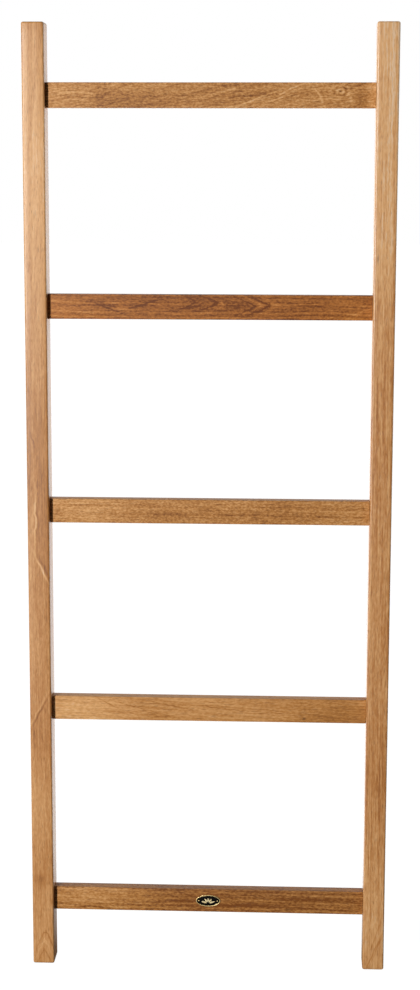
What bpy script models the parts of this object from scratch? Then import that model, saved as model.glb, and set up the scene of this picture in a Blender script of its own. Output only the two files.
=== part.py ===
"""Leaning teak ladder for towels and blankets: two stiles, five flat rungs with
blind mortise-and-tenon joints, a plugged screw through each tenon, and an oval
maker's plate pinned to the lowest rung.

Units are metres. +Z runs up the stiles, the front faces -Y, and the origin is
on the floor midway between the stiles.
"""
import math

import bmesh
import bpy

# Ladder as a whole
LADDER_HEIGHT = 1.524
LADDER_WIDTH = 0.580

# Stiles: square-cut lengths of teak with every edge eased
STILE_WIDTH = 0.035
STILE_DEPTH = 0.045
STILE_EASE = 0.003
STILE_EASE_SEGMENTS = 3

# Rungs: flat slats, evenly spaced, set in the middle of the stiles' depth
RUNG_COUNT = 5
RUNG_PITCH = 0.326
RUNG_HEIGHT = 0.039
RUNG_THICKNESS = 0.020
RUNG_EASE = 0.0015

# Joints between rungs and stiles
FIT_GAP = 0.0003
TENON_HEIGHT = 0.030
TENON_THICKNESS = 0.010
TENON_EASE = 0.002
MORTISE_DEPTH = 0.020
TENON_LEAD_IN = 0.001

# Wood screws: driven from each stile's outer face into the tenon
HEAD_RADIUS = 0.0042
HEAD_HEIGHT = 0.0026
HEAD_RIM = 0.0008
SOCKET_RADIUS = 0.0017
SOCKET_DEPTH = 0.0014
SHANK_RADIUS = 0.0018
THREAD_RADIUS = 0.0022
THREAD_RIDGES = 8
THREAD_PITCH = 0.0025
PLAIN_SHANK = 0.016
POINT_LENGTH = 0.004
SCREW_SIDES = 12

# Teak plugs that close the screw holes
PLUG_LENGTH = 0.005
PLUG_RADIUS = 0.0047
PLUG_CHAMFER = 0.0004
PLUG_SIDES = 24

# Maker's plate: an oval brass tray filled with enamel, held by two pins
PLATE_LENGTH = 0.040
PLATE_HEIGHT = 0.020
PLATE_THICKNESS = 0.0012
PLATE_RIM = 0.0014
PLATE_FLOOR = 0.0004
ENAMEL_THICKNESS = 0.0004
PLATE_SIDES = 48
PIN_OFFSET = 0.0155
PIN_SHANK_RADIUS = 0.0006
PIN_HEAD_RADIUS = 0.0011
PIN_HEAD_HEIGHT = 0.0006
PIN_LENGTH = 0.009
PIN_SIDES = 16

# Places worked out from the sizes above
TOP_MARGIN = (LADDER_HEIGHT - RUNG_HEIGHT - (RUNG_COUNT - 1) * RUNG_PITCH) / 2
STILE_CENTRE_X = (LADDER_WIDTH - STILE_WIDTH) / 2
STILE_INNER_X = LADDER_WIDTH / 2 - STILE_WIDTH
STILE_OUTER_X = LADDER_WIDTH / 2
MORTISE_END_X = STILE_INNER_X + MORTISE_DEPTH
TENON_END_X = MORTISE_END_X - FIT_GAP
SHOULDER_X = STILE_INNER_X - FIT_GAP
PLUG_INNER_X = STILE_OUTER_X - PLUG_LENGTH
HEAD_TOP_X = PLUG_INNER_X - FIT_GAP
HEAD_SEAT_X = HEAD_TOP_X - HEAD_HEIGHT
BORE_SEAT_X = HEAD_SEAT_X - FIT_GAP
THREAD_START_X = HEAD_SEAT_X - PLAIN_SHANK
THREAD_END_X = THREAD_START_X - THREAD_RIDGES * THREAD_PITCH
SCREW_TIP_X = THREAD_END_X - POINT_LENGTH
RUNG_FRONT_Y = -RUNG_THICKNESS / 2
PLATE_BACK_Y = RUNG_FRONT_Y - FIT_GAP
PLATE_FLOOR_Y = PLATE_BACK_Y - PLATE_FLOOR
PLATE_FRONT_Y = PLATE_BACK_Y - PLATE_THICKNESS
ENAMEL_BACK_Y = PLATE_FLOOR_Y - FIT_GAP
ENAMEL_FRONT_Y = ENAMEL_BACK_Y - ENAMEL_THICKNESS
PIN_SEAT_Y = ENAMEL_FRONT_Y - FIT_GAP

SHARP_ANGLE = math.radians(35)
CUTTER_OVERSHOOT = 0.01
ROUND_STEPS = 3
HEXAGON_SIDES = 6

# Finishes: base colour, roughness, metallic
TEAK_STILE = ((0.50, 0.29, 0.13), 0.50, 0.0)
TEAK_RUNG = ((0.45, 0.24, 0.10), 0.50, 0.0)
TEAK_PLUG = ((0.40, 0.21, 0.09), 0.55, 0.0)
STEEL = ((0.60, 0.60, 0.58), 0.30, 1.0)
BRASS = ((0.72, 0.52, 0.22), 0.30, 1.0)
BLACK_ENAMEL = ((0.015, 0.014, 0.013), 0.25, 0.0)


def clear_scene():
    """Remove every object the file opened with."""
    for old in list(bpy.data.objects):
        bpy.data.objects.remove(old, do_unlink=True)


def give_finish(piece, finish):
    """Give a piece its own Principled material."""
    colour, roughness, metallic = finish
    material = bpy.data.materials.new(piece.name + "_finish")
    material.use_nodes = True
    shader = material.node_tree.nodes["Principled BSDF"]
    shader.inputs["Base Color"].default_value = (*colour, 1.0)
    shader.inputs["Roughness"].default_value = roughness
    shader.inputs["Metallic"].default_value = metallic
    material.diffuse_color = (*colour, 1.0)
    piece.data.materials.append(material)


def object_from_bmesh(name, mesh_code):
    """Turn finished mesh code into a linked object with outward normals."""
    bmesh.ops.recalc_face_normals(mesh_code, faces=mesh_code.faces)
    mesh = bpy.data.meshes.new(name)
    mesh_code.to_mesh(mesh)
    mesh_code.free()
    piece = bpy.data.objects.new(name, mesh)
    bpy.context.scene.collection.objects.link(piece)
    return piece


def add_loft(mesh_code, sections):
    """Skin a run of closed sections, each with the same number of points, and cap both ends."""
    rings = [[mesh_code.verts.new(point) for point in section] for section in sections]
    for ring, following in zip(rings, rings[1:]):
        for index in range(len(ring)):
            after = (index + 1) % len(ring)
            mesh_code.faces.new((ring[index], ring[after], following[after], following[index]))
    mesh_code.faces.new(reversed(rings[0]))
    mesh_code.faces.new(rings[-1])


def loft(name, sections):
    """One closed lofted solid as an object."""
    mesh_code = bmesh.new()
    add_loft(mesh_code, sections)
    return object_from_bmesh(name, mesh_code)


def shade_round(piece):
    """Smooth shading that keeps the piece's real corners crisp."""
    piece.data.shade_smooth()
    piece.data.set_sharp_from_angle(angle=SHARP_ANGLE)


def rounded_section(x, centre_z, thickness, height, radius):
    """A rounded rectangle in the plane across a rung, at one place along it."""
    points = []
    corners = ((1, 1, 0), (-1, 1, 90), (-1, -1, 180), (1, -1, 270))
    for side_y, side_z, start in corners:
        corner_y = side_y * (thickness / 2 - radius)
        corner_z = centre_z + side_z * (height / 2 - radius)
        for step in range(ROUND_STEPS + 1):
            angle = math.radians(start + 90 * step / ROUND_STEPS)
            points.append((x, corner_y + radius * math.cos(angle), corner_z + radius * math.sin(angle)))
    return points


def circle_about_x(x, centre_z, radius, sides):
    """A circle about an axis along X."""
    turns = [2 * math.pi * step / sides for step in range(sides)]
    return [(x, radius * math.cos(turn), centre_z + radius * math.sin(turn)) for turn in turns]


def hexagon_about_x(x, centre_z, radius, sides):
    """A hexagon about an axis along X, with extra points along its flats to match a circle."""
    points = []
    wedge = 2 * math.pi / HEXAGON_SIDES
    for step in range(sides):
        turn = 2 * math.pi * step / sides
        from_flat = (turn % wedge) - wedge / 2
        reach = radius * math.cos(wedge / 2) / math.cos(from_flat)
        points.append((x, reach * math.cos(turn), centre_z + reach * math.sin(turn)))
    return points


def ellipse_about_y(y, centre_z, half_length, half_height):
    """An ellipse in the plane of the rungs' front faces."""
    turns = [2 * math.pi * step / PLATE_SIDES for step in range(PLATE_SIDES)]
    return [(half_length * math.cos(turn), y, centre_z + half_height * math.sin(turn)) for turn in turns]


def circle_about_y(centre_x, y, centre_z, radius):
    """A circle about an axis along Y."""
    turns = [2 * math.pi * step / PIN_SIDES for step in range(PIN_SIDES)]
    return [(centre_x + radius * math.cos(turn), y, centre_z + radius * math.sin(turn)) for turn in turns]


def rung_height(number):
    """Centre height of a rung, where number 1 is the top one."""
    return LADDER_HEIGHT - TOP_MARGIN - RUNG_HEIGHT / 2 - (number - 1) * RUNG_PITCH


def mark_as_cutter(cutter):
    """Cutters only shape other pieces."""
    cutter.hide_render = True
    cutter.display_type = "WIRE"


def cut(piece, cutter):
    """Subtract a cutter from a piece."""
    boolean = piece.modifiers.new("cut_" + cutter.name, "BOOLEAN")
    boolean.operation = "DIFFERENCE"
    boolean.solver = "EXACT"
    boolean.object = cutter


def make_mortise_cutter():
    """Bars that run from mortise end to mortise end and leave a pocket in each stile."""
    mesh_code = bmesh.new()
    for number in range(1, RUNG_COUNT + 1):
        sections = []
        for x in (-MORTISE_END_X, MORTISE_END_X):
            sections.append(rounded_section(
                x, rung_height(number),
                TENON_THICKNESS + 2 * FIT_GAP, TENON_HEIGHT + 2 * FIT_GAP, TENON_EASE + FIT_GAP,
            ))
        add_loft(mesh_code, sections)
    cutter = object_from_bmesh("mortise_cutter", mesh_code)
    mark_as_cutter(cutter)
    return cutter


def make_screw_bore_cutter():
    """Stepped bores: a wide mouth for the plug and screw head, then a hole for the thread."""
    mesh_code = bmesh.new()
    mouth_radius = PLUG_RADIUS + FIT_GAP
    hole_radius = THREAD_RADIUS + FIT_GAP
    for side in (-1, 1):
        for number in range(1, RUNG_COUNT + 1):
            stations = (
                (STILE_OUTER_X + CUTTER_OVERSHOOT, mouth_radius),
                (BORE_SEAT_X, mouth_radius),
                (BORE_SEAT_X, hole_radius),
                (SCREW_TIP_X - FIT_GAP, hole_radius),
            )
            sections = [
                circle_about_x(side * x, rung_height(number), radius, PLUG_SIDES)
                for x, radius in stations
            ]
            add_loft(mesh_code, sections)
    cutter = object_from_bmesh("screw_bore_cutter", mesh_code)
    mark_as_cutter(cutter)
    return cutter


def make_pin_hole_cutter():
    """Two round holes for the maker's plate pins."""
    mesh_code = bmesh.new()
    radius = PIN_SHANK_RADIUS + FIT_GAP
    for side in (-1, 1):
        sections = []
        for y in (PLATE_FRONT_Y - CUTTER_OVERSHOOT, PIN_SEAT_Y + PIN_LENGTH + FIT_GAP):
            sections.append(circle_about_y(side * PIN_OFFSET, y, rung_height(RUNG_COUNT), radius))
        add_loft(mesh_code, sections)
    cutter = object_from_bmesh("pin_hole_cutter", mesh_code)
    mark_as_cutter(cutter)
    return cutter


def make_stile(name, side, mortise_cutter, screw_bore_cutter):
    """A square stile with eased edges, five mortises and five plugged screw bores."""
    mesh_code = bmesh.new()
    bmesh.ops.create_cube(mesh_code, size=1.0)
    bmesh.ops.scale(mesh_code, vec=(STILE_WIDTH, STILE_DEPTH, LADDER_HEIGHT), verts=mesh_code.verts)
    stile = object_from_bmesh(name, mesh_code)
    stile.location = (side * STILE_CENTRE_X, 0, LADDER_HEIGHT / 2)
    easing = stile.modifiers.new("eased_edges", "BEVEL")
    easing.width = STILE_EASE
    easing.segments = STILE_EASE_SEGMENTS
    easing.limit_method = "ANGLE"
    cut(stile, mortise_cutter)
    cut(stile, screw_bore_cutter)
    give_finish(stile, TEAK_STILE)
    return stile


def make_rung(number, screw_bore_cutter):
    """A flat slat with a shouldered tenon and a pilot hole at each end."""
    centre_z = rung_height(number)
    tenon = (centre_z, TENON_THICKNESS, TENON_HEIGHT, TENON_EASE)
    tip = (centre_z, TENON_THICKNESS - 2 * TENON_LEAD_IN, TENON_HEIGHT - 2 * TENON_LEAD_IN, TENON_EASE)
    slat = (centre_z, RUNG_THICKNESS, RUNG_HEIGHT, RUNG_EASE)
    stations = (
        (TENON_END_X, tip),
        (TENON_END_X - TENON_LEAD_IN, tenon),
        (SHOULDER_X, tenon),
        (SHOULDER_X, slat),
    )
    left_half = [rounded_section(-x, *shape) for x, shape in stations]
    right_half = [rounded_section(x, *shape) for x, shape in reversed(stations)]
    rung = loft(f"rung_{number}", left_half + right_half)
    shade_round(rung)
    cut(rung, screw_bore_cutter)
    give_finish(rung, TEAK_RUNG)
    return rung


def make_screw(name, side, number):
    """A pan-head wood screw with a hexagon socket, a plain shank, thread ridges and a point."""
    centre_z = rung_height(number)
    socket_floor = HEAD_TOP_X - SOCKET_DEPTH
    sections = [
        hexagon_about_x(side * socket_floor, centre_z, SOCKET_RADIUS, SCREW_SIDES),
        hexagon_about_x(side * HEAD_TOP_X, centre_z, SOCKET_RADIUS, SCREW_SIDES),
    ]
    profile = [
        (HEAD_TOP_X, HEAD_RADIUS - HEAD_RIM),
        (HEAD_TOP_X - HEAD_RIM, HEAD_RADIUS),
        (HEAD_SEAT_X, HEAD_RADIUS),
        (HEAD_SEAT_X, SHANK_RADIUS),
        (THREAD_START_X, SHANK_RADIUS),
    ]
    for ridge in range(THREAD_RIDGES):
        crest_x = THREAD_START_X - (ridge + 0.5) * THREAD_PITCH
        root_x = THREAD_START_X - (ridge + 1) * THREAD_PITCH
        profile.append((crest_x, THREAD_RADIUS))
        profile.append((root_x, SHANK_RADIUS))
    profile.append((SCREW_TIP_X, SHANK_RADIUS / 6))
    sections += [circle_about_x(side * x, centre_z, radius, SCREW_SIDES) for x, radius in profile]
    screw = loft(name, sections)
    shade_round(screw)
    give_finish(screw, STEEL)
    return screw


def make_plug(name, side, number):
    """A short teak dowel, flush with the stile's outer face."""
    profile = (
        (STILE_OUTER_X, PLUG_RADIUS - PLUG_CHAMFER),
        (STILE_OUTER_X - PLUG_CHAMFER, PLUG_RADIUS),
        (PLUG_INNER_X, PLUG_RADIUS),
    )
    centre_z = rung_height(number)
    plug = loft(name, [circle_about_x(side * x, centre_z, radius, PLUG_SIDES) for x, radius in profile])
    shade_round(plug)
    give_finish(plug, TEAK_PLUG)
    return plug


def make_badge_plate(pin_hole_cutter):
    """The oval brass tray with a raised rim."""
    centre_z = rung_height(RUNG_COUNT)
    outer = (PLATE_LENGTH / 2, PLATE_HEIGHT / 2)
    inner = (outer[0] - PLATE_RIM, outer[1] - PLATE_RIM)
    soft = (outer[0] - PLATE_RIM / 4, outer[1] - PLATE_RIM / 4)
    sections = [
        ellipse_about_y(PLATE_BACK_Y, centre_z, *outer),
        ellipse_about_y(PLATE_FRONT_Y + PLATE_RIM / 4, centre_z, *outer),
        ellipse_about_y(PLATE_FRONT_Y, centre_z, *soft),
        ellipse_about_y(PLATE_FRONT_Y, centre_z, *inner),
        ellipse_about_y(PLATE_FLOOR_Y, centre_z, *inner),
    ]
    plate = loft("badge_plate", sections)
    shade_round(plate)
    cut(plate, pin_hole_cutter)
    give_finish(plate, BRASS)
    return plate


def make_badge_enamel(pin_hole_cutter):
    """The enamel field inside the plate's rim."""
    centre_z = rung_height(RUNG_COUNT)
    half_length = PLATE_LENGTH / 2 - PLATE_RIM - FIT_GAP
    half_height = PLATE_HEIGHT / 2 - PLATE_RIM - FIT_GAP
    enamel = loft("badge_enamel", [
        ellipse_about_y(ENAMEL_BACK_Y, centre_z, half_length, half_height),
        ellipse_about_y(ENAMEL_FRONT_Y, centre_z, half_length, half_height),
    ])
    shade_round(enamel)
    cut(enamel, pin_hole_cutter)
    give_finish(enamel, BLACK_ENAMEL)
    return enamel


def make_badge_pin(name, side):
    """A small domed brass pin."""
    centre_z = rung_height(RUNG_COUNT)
    tip_y = PIN_SEAT_Y + PIN_LENGTH
    stations = (
        (tip_y, PIN_SHANK_RADIUS / 4),
        (tip_y - 2 * PIN_SHANK_RADIUS, PIN_SHANK_RADIUS),
        (PIN_SEAT_Y, PIN_SHANK_RADIUS),
        (PIN_SEAT_Y, PIN_HEAD_RADIUS),
        (PIN_SEAT_Y - PIN_HEAD_HEIGHT / 2, PIN_HEAD_RADIUS * 0.9),
        (PIN_SEAT_Y - PIN_HEAD_HEIGHT, PIN_HEAD_RADIUS * 0.4),
    )
    sections = [circle_about_y(side * PIN_OFFSET, y, centre_z, radius) for y, radius in stations]
    pin = loft(name, sections)
    shade_round(pin)
    give_finish(pin, BRASS)
    return pin


def build_ladder():
    """Make every piece in place and hang them all from one empty."""
    clear_scene()
    ladder = bpy.data.objects.new("ladder", None)
    bpy.context.scene.collection.objects.link(ladder)
    mortises = make_mortise_cutter()
    screw_bores = make_screw_bore_cutter()
    pin_holes = make_pin_hole_cutter()
    pieces = []
    sides = (("left", -1), ("right", 1))
    for word, side in sides:
        pieces.append(make_stile(f"stile_{word}", side, mortises, screw_bores))
    for number in range(1, RUNG_COUNT + 1):
        pieces.append(make_rung(number, screw_bores))
    cut(pieces[-1], pin_holes)
    for word, side in sides:
        for number in range(1, RUNG_COUNT + 1):
            pieces.append(make_screw(f"screw_{word}_{number}", side, number))
            pieces.append(make_plug(f"plug_{word}_{number}", side, number))
    pieces.append(make_badge_plate(pin_holes))
    pieces.append(make_badge_enamel(pin_holes))
    for word, side in sides:
        pieces.append(make_badge_pin(f"badge_pin_{word}", side))
    for piece in pieces + [mortises, screw_bores, pin_holes]:
        piece.parent = ladder


build_ladder()
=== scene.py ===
"""Looks of a leaning teak ladder: shaped timber, procedural wood, brass plate and studio."""

import math

import bmesh
import bpy
from mathutils import Matrix, Vector
from mathutils import noise


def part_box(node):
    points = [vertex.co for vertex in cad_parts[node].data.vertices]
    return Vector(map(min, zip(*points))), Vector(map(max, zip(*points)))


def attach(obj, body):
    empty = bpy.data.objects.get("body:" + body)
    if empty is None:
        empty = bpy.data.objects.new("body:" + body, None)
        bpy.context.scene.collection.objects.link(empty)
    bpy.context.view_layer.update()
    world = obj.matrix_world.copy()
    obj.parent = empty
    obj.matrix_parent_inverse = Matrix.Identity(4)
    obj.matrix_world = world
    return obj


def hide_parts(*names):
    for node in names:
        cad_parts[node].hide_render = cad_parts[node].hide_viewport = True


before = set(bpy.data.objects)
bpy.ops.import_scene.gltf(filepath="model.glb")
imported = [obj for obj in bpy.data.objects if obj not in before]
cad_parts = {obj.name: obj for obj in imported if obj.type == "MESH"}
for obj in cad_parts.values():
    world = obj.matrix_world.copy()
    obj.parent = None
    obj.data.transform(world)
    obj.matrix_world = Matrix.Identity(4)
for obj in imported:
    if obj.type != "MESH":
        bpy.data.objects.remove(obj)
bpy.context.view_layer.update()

SIDES = (("left", -1), ("right", 1))
RUNGS = (1, 2, 3, 4, 5)
PLATED_RUNG = 5

# Shaping of the timber
STILE_EASE = 0.003
RUNG_EASE = 0.0009
ARC_STEPS = 6
FACE_STEPS = 3
STATION_SPACING = 0.016
HAND_WAVER = 0.00022
FACE_WAVER = 0.00006
WAVER_LENGTH = 0.11
WAVER_SLICE = 0.5
STILE_ARRIS_SEED = 3.0
STILE_FACE_SEED = 5.0
RUNG_ARRIS_SEED = 2.0
RUNG_FACE_SEED = 9.0
END_SHARPENING = 0.6
SHARP_ANGLE = math.radians(32)

# Joinery, repeated from the CAD model's own sizes
JOINT_GAP = 0.0003
TENON_THICKNESS = 0.010
TENON_HEIGHT = 0.030
TENON_EASE = 0.002
TENON_LENGTH = 0.020
LEAD_IN = 0.001
BORE_SIDES = 48
BORE_MOUTH_RADIUS = 0.0050
BORE_RADIUS = 0.0025
BORE_MOUTH_DEPTH = 0.0082
BORE_DEPTH = 0.0486
CUTTER_OVERSHOOT = 0.01

# Plugs and maker's plate
PLUG_RADIUS = 0.0047
PLUG_CHAMFER = 0.0004
PLUG_DOME_HEIGHT = 0.8 * PLUG_CHAMFER
PLUG_DOME_RADIUS = 0.96 * PLUG_RADIUS
DOME_STEPS = 6
PLATE_SIDES = 96
PLATE_BACK_EASE = 0.0002
PLATE_RIM = 0.0014
RIM_STEPS = 6
RIM_FLATNESS = 0.6
PIN_SIDES = 28
PIN_HOLE_RADIUS = 0.0009
PIN_SHANK_RADIUS = 0.0006
PIN_TIP_RADIUS = 0.00015
PIN_TAPER = 0.0012
# The enamel's rounded edge: how far back from its front, and how far in from its side
ENAMEL_EDGE = ((0.00012, 0.0), (0.00003, 0.0001), (0.0, 0.0003))
LEAF_STEPS = 10
LEAF_HEIGHT = 0.00018
LEAF_EDGE_SHARE = 0.5
LEAF_WIDTH = 0.0028
LEAF_FULLNESS = 0.8
LEAF_GAP = 0.0022
LEAF_CLEARANCE = 0.00002
SPRIG_DROP = 0.0042
# Each leaf of the sprig: its direction in degrees, and how far its tip is from the root
SPRIG_LEAVES = ((90, 0.0092), (53, 0.0100), (127, 0.0100), (17, 0.0120), (163, 0.0120))

# Camera, as the photograph's: just right of centre, a little below the ladder's top
CAMERA_PLACE = Vector((0.136, -3.044, 1.305))
CAMERA_YAW = math.radians(2.54)
CAMERA_PITCH = math.radians(9.63)
CAMERA_ROLL = math.radians(0.14)
CAMERA_LENS = 70.3

# Studio
KEY_PLACE = Vector((-2.45, -4.60, 1.32))
KEY_AIM = Vector((0.0, 0.0, 0.80))
KEY_WIDTH = 0.55
KEY_HEIGHT = 1.60
KEY_POWER = 298.0
BACK_GLOW = 1.8
SKY_GLOW = 0.9
FRONT_GLOW = 0.02
FLOOR_GLOW = 0.95
FLOOR_SIZE = 30.0
FLOOR_SEGMENTS = 8
FLOOR_TONE = 0.14
FLOOR_ROUGHNESS = 0.9
FLOOR_LIT_FROM = 0.05
FLOOR_LIT_TO = 0.50
# Heights between which the glow behind the ladder turns into the sky's, and where the front's ends
HORIZON_FROM = 0.04
HORIZON_TO = 0.20
FRONT_TO = 0.35


# ---------------------------------------------------------------- mesh helpers

def mesh_piece(name, mesh_code, material, replaced):
    """Finish one piece: link it, shade it, ride it on the ladder and hide the parts it stands in for."""
    bmesh.ops.recalc_face_normals(mesh_code, faces=mesh_code.faces)
    mesh = bpy.data.meshes.new(name)
    mesh_code.to_mesh(mesh)
    mesh_code.free()
    mesh.shade_smooth()
    mesh.set_sharp_from_angle(angle=SHARP_ANGLE)
    piece = bpy.data.objects.new(name, mesh)
    bpy.context.scene.collection.objects.link(piece)
    piece.data.materials.append(material)
    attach(piece, "root")
    if replaced:
        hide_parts(*replaced)
    return piece


def add_loft(mesh_code, sections):
    """Skin a run of closed sections with equal point counts, and cap both ends."""
    rings = [[mesh_code.verts.new(point) for point in section] for section in sections]
    for ring, following in zip(rings, rings[1:]):
        for index in range(len(ring)):
            after = (index + 1) % len(ring)
            mesh_code.faces.new((ring[index], ring[after], following[after], following[index]))
    mesh_code.faces.new(reversed(rings[0]))
    mesh_code.faces.new(rings[-1])


def rounded_rectangle(width, depth, radius):
    """Points round a rectangle with eased corners and a few points along each flat."""
    corners = ((1, 1, 0), (-1, 1, 90), (-1, -1, 180), (1, -1, 270))
    arcs = []
    for side_u, side_v, start in corners:
        arc = []
        for step in range(ARC_STEPS + 1):
            angle = math.radians(start + 90 * step / ARC_STEPS)
            arc.append(Vector((
                side_u * (width / 2 - radius) + radius * math.cos(angle),
                side_v * (depth / 2 - radius) + radius * math.sin(angle),
            )))
        arcs.append(arc)
    points = []
    for arc, following in zip(arcs, arcs[1:] + arcs[:1]):
        points += arc
        for step in range(1, FACE_STEPS):
            points.append(arc[-1].lerp(following[0], step / FACE_STEPS))
    return points


def ellipse(half_length, half_height, count):
    """Points round an ellipse."""
    turns = [2 * math.pi * step / count for step in range(count)]
    return [Vector((half_length * math.cos(turn), half_height * math.sin(turn))) for turn in turns]


def circle(radius, count):
    """Points round a circle."""
    return ellipse(radius, radius, count)


def stations_between(start, end):
    """Evenly spaced stations along a length of timber."""
    count = max(2, round(abs(end - start) / STATION_SPACING))
    return [start + (end - start) * step / count for step in range(count + 1)]


def waver(place, seed):
    """A slow, small wandering number, the same on every run."""
    return noise.noise(Vector((place / WAVER_LENGTH, seed, WAVER_SLICE)))


def carve(piece, mesh_code):
    """Cut a shape out of a piece for good and leave no cutter behind."""
    bmesh.ops.recalc_face_normals(mesh_code, faces=mesh_code.faces)
    mesh = bpy.data.meshes.new("cutter")
    mesh_code.to_mesh(mesh)
    mesh_code.free()
    cutter = bpy.data.objects.new("cutter", mesh)
    bpy.context.scene.collection.objects.link(cutter)
    boolean = piece.modifiers.new("carve", "BOOLEAN")
    boolean.operation = "DIFFERENCE"
    boolean.solver = "EXACT"
    boolean.object = cutter
    graph = bpy.context.evaluated_depsgraph_get()
    carved = bpy.data.meshes.new_from_object(piece.evaluated_get(graph))
    piece.modifiers.remove(boolean)
    previous = piece.data
    piece.data = carved
    carved.set_sharp_from_angle(angle=SHARP_ANGLE)
    bpy.data.objects.remove(cutter, do_unlink=True)
    bpy.data.meshes.remove(mesh)
    bpy.data.meshes.remove(previous)


# ---------------------------------------------------------------- shader helpers

class Nodes:
    """Short ways to wire a material's nodes."""

    def __init__(self, name):
        self.material = bpy.data.materials.new(name)
        self.material.use_nodes = True
        self.tree = self.material.node_tree
        self.shader = self.tree.nodes["Principled BSDF"]

    def feed(self, socket, value):
        """Wire a socket, or set its value."""
        if isinstance(value, bpy.types.NodeSocket):
            self.tree.links.new(value, socket)
        else:
            socket.default_value = value

    def add(self, kind, **settings):
        """A new node with some of its settings."""
        node = self.tree.nodes.new(kind)
        for setting, value in settings.items():
            setattr(node, setting, value)
        return node

    def math(self, operation, first, second=0.0, clamp=False):
        """One arithmetic node."""
        node = self.add("ShaderNodeMath", operation=operation, use_clamp=clamp)
        self.feed(node.inputs[0], first)
        self.feed(node.inputs[1], second)
        return node.outputs[0]

    def vector(self, x, y, z):
        """Three numbers as a vector."""
        node = self.add("ShaderNodeCombineXYZ")
        for socket, value in zip(node.inputs, (x, y, z)):
            self.feed(socket, value)
        return node.outputs[0]

    def noise(self, place, detail=2.0, roughness=0.5):
        """Smooth noise at a place."""
        node = self.add("ShaderNodeTexNoise")
        self.feed(node.inputs["Vector"], place)
        self.feed(node.inputs["Scale"], 1.0)
        self.feed(node.inputs["Detail"], detail)
        self.feed(node.inputs["Roughness"], roughness)
        return node.outputs["Fac"]

    def line_noise(self, place, detail=2.0):
        """Noise along one number."""
        node = self.add("ShaderNodeTexNoise", noise_dimensions="1D")
        self.feed(node.inputs["W"], place)
        self.feed(node.inputs["Scale"], 1.0)
        self.feed(node.inputs["Detail"], detail)
        return node.outputs["Fac"]

    def remap(self, value, low, high, to_low=0.0, to_high=1.0):
        """Stretch a range to another, held at its ends."""
        node = self.add("ShaderNodeMapRange")
        for socket, number in zip(node.inputs, (value, low, high, to_low, to_high)):
            self.feed(socket, number)
        return node.outputs[0]

    def mix(self, factor, first, second, blend="MIX"):
        """Mix two colours."""
        node = self.add("ShaderNodeMix", data_type="RGBA", blend_type=blend)
        self.feed(node.inputs["Factor"], factor)
        for name, colour in (("A", first), ("B", second)):
            wired = isinstance(colour, bpy.types.NodeSocket)
            self.feed(node.inputs[name], colour if wired else (*colour, 1.0))
        return node.outputs["Result"]

    def bump(self, height, depth):
        """Surface relief, in metres."""
        node = self.add("ShaderNodeBump")
        node.inputs["Distance"].default_value = depth
        self.feed(node.inputs["Height"], height)
        self.tree.links.new(node.outputs["Normal"], self.shader.inputs["Normal"])

    def axes(self):
        """The three coordinates of the object, in metres."""
        split = self.add("ShaderNodeSeparateXYZ")
        place = self.add("ShaderNodeTexCoord").outputs["Object"]
        self.tree.links.new(place, split.inputs[0])
        return list(split.outputs)

    def scaled(self, places, rates):
        """A place, squeezed by its own rate along each axis."""
        return self.vector(*(self.math("MULTIPLY", place, rate) for place, rate in zip(places, rates)))

    def square(self, value):
        """A number times itself."""
        return self.math("MULTIPLY", value, value)

    def fall_off(self, squared):
        """1 where a squared distance is 0, fading smoothly to 0 as it grows."""
        return self.math("POWER", math.e, self.math("MULTIPLY", squared, -1.0))

    def set_shader(self, **values):
        """Set or wire the shader's own sockets, named with underscores for spaces."""
        for name, value in values.items():
            self.feed(self.shader.inputs[name.replace("_", " ")], value)


def spot(nodes, along, across, centre, reach):
    """1 at a place on a face, fading smoothly to 0 around it."""
    run = nodes.math("DIVIDE", nodes.math("SUBTRACT", along, centre[0]), reach[0])
    rise = nodes.math("DIVIDE", nodes.math("SUBTRACT", across, centre[1]), reach[1])
    return nodes.fall_off(nodes.math("ADD", nodes.square(run), nodes.square(rise)))


def stroke(nodes, along, across, centre, reach, slope):
    """Like a spot, but leaning across the board and wandering as grain does."""
    level = nodes.math("MULTIPLY", nodes.math("SUBTRACT", along, centre[0]), slope)
    wander = nodes.line_noise(nodes.math("MULTIPLY", along, WANDER_RATE), detail=2.0)
    wander = nodes.math("MULTIPLY", nodes.math("SUBTRACT", wander, 0.5), WANDER_REACH)
    straightened = nodes.math("ADD", nodes.math("SUBTRACT", across, level), wander)
    return spot(nodes, along, straightened, centre, reach)


def vee(nodes, along, across, tip, reach, slope):
    """A line folded back at a tip, as where a growth ring comes out through a face."""
    rise = nodes.math("SUBTRACT", across, tip[1])
    blunted = nodes.math("SQRT", nodes.math("ADD", nodes.square(rise), VEE_BLUNTNESS))
    wander = nodes.noise(nodes.vector(
        nodes.math("MULTIPLY", along, VEE_WOBBLE_RATE),
        nodes.math("MULTIPLY", across, VEE_WOBBLE_RATE),
        0.0,
    ))
    wander = nodes.math("MULTIPLY", nodes.math("SUBTRACT", wander, 0.5), VEE_WOBBLE)
    run = nodes.math("SUBTRACT", along, tip[0])
    off = nodes.math("ADD", nodes.math("ADD", blunted, nodes.math("MULTIPLY", run, slope)), wander)
    off = nodes.math("DIVIDE", off, reach[1])
    run = nodes.math("DIVIDE", run, reach[0])
    return nodes.fall_off(nodes.math("ADD", nodes.square(off), nodes.square(run)))


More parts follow.
